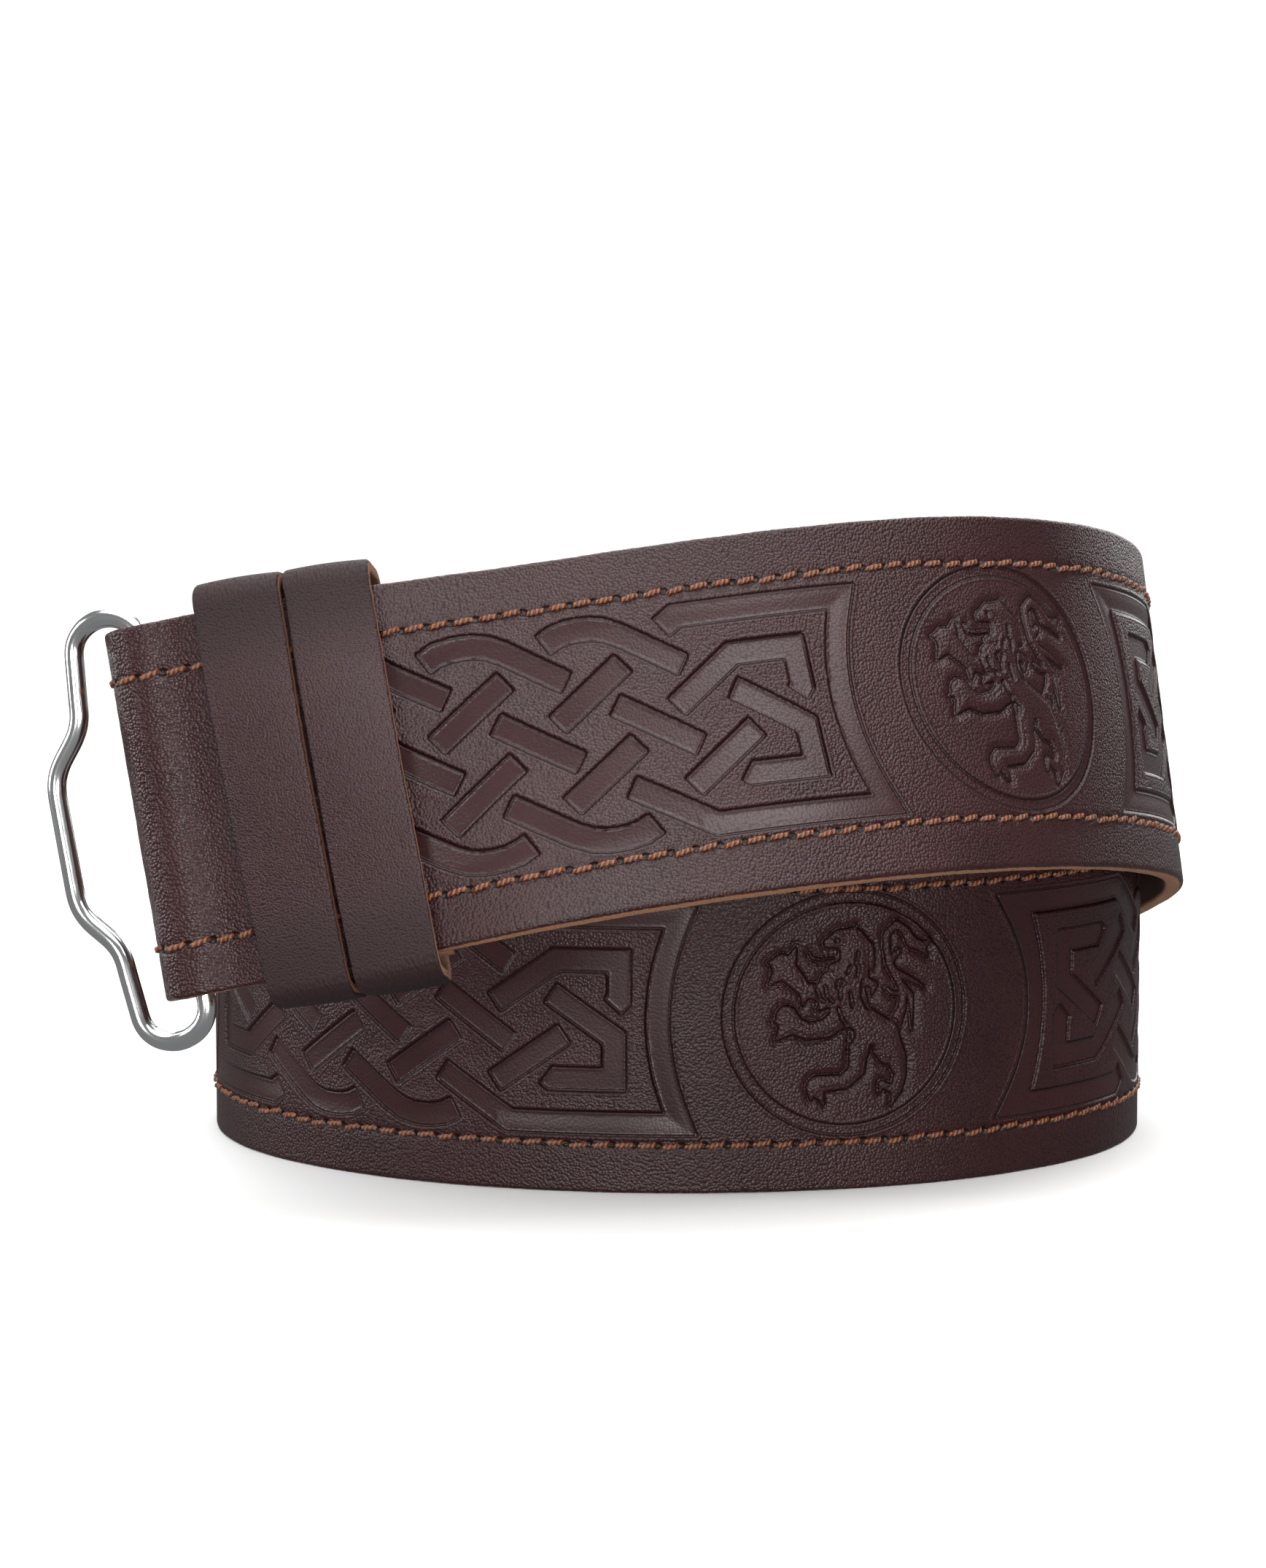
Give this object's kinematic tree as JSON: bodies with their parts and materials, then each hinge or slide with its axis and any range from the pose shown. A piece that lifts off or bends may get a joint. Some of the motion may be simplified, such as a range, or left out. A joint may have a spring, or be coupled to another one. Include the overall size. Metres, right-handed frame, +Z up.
{
  "type": "kilt belt",
  "caption": "Wide embossed leather kilt belt, rolled up and standing on its edges, with a folded end that holds a bent wire loop and two leather keepers.",
  "frame": {"origin": "on the surface the belt stands on, under the middle of its bounding box", "axes": "+Z up, across the level turn's strap; -Y towards the front of the roll, where the raised turn stands out; +X to the right seen from the front, so the folded end and its loop are at -X"},
  "size_m": [0.1866, 0.1902, 0.1094],
  "materials": {
    "strap_leather": "dark brown grained leather, satin, with tan raw edges",
    "keeper_leather": "dark brown grained leather, satin",
    "wire": "bright plated wire"
  },
  "bodies": {
    "belt": {"strap": "strap_leather", "keeper_left": "keeper_leather", "keeper_right": "keeper_leather"},
    "loop": {"wire_loop": "wire"}
  },
  "joints": [
    {"name": "loop_swing", "type": "hinge", "parent": "belt", "child": "loop", "pos_m": [-0.07277, -0.07102, 0.06325], "axis": [-0.1866, 0.1461, 0.9715], "range_deg": [-120, 120]}
  ]
}
